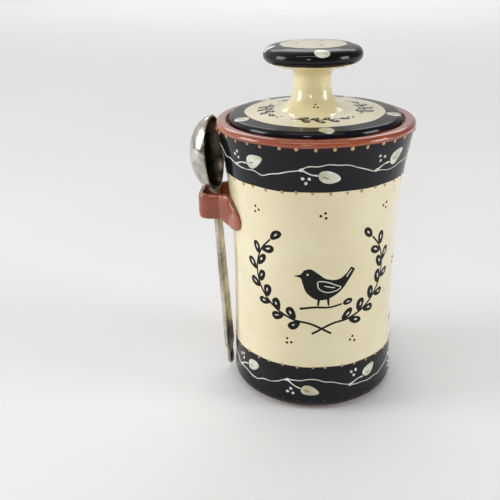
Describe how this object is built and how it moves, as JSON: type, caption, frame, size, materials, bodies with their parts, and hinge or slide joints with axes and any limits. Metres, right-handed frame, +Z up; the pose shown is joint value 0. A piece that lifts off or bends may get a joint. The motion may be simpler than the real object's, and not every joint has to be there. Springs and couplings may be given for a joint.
{
  "type": "butter crock",
  "caption": "Tall round earthenware crock with a drop-in knobbed lid, and a metal spoon hanging in a clay loop on its side.",
  "frame": {"origin": "the crock's axis at the plane it stands on", "axes": "+Z up the crock's axis; the spoon and its loop are on the -X side; -Y is the decorated front"},
  "size_m": [0.1183, 0.104, 0.1886],
  "materials": {
    "cream_glaze": "gloss",
    "black_glaze": "gloss",
    "terracotta": "gloss",
    "pewter": "satin",
    "white_slip": "gloss",
    "gold_slip": "gloss"
  },
  "bodies": {
    "crock": {"crock_body": "cream_glaze", "spoon_loop": "terracotta"},
    "lid": {"lid_plate": "black_glaze", "lid_knob": "cream_glaze"},
    "spoon": {"spoon_bowl": "pewter", "spoon_handle": "pewter", "spoon_finial": "pewter"}
  },
  "joints": [
    {"name": "lid_lift", "type": "slide", "parent": "crock", "child": "lid", "axis": [0, 0, 1], "range_m": [0, 0.13]},
    {"name": "spoon_lift", "type": "slide", "parent": "crock", "child": "spoon", "axis": [-0.0698, 0, 0.9976], "range_m": [0, 0.12]}
  ]
}
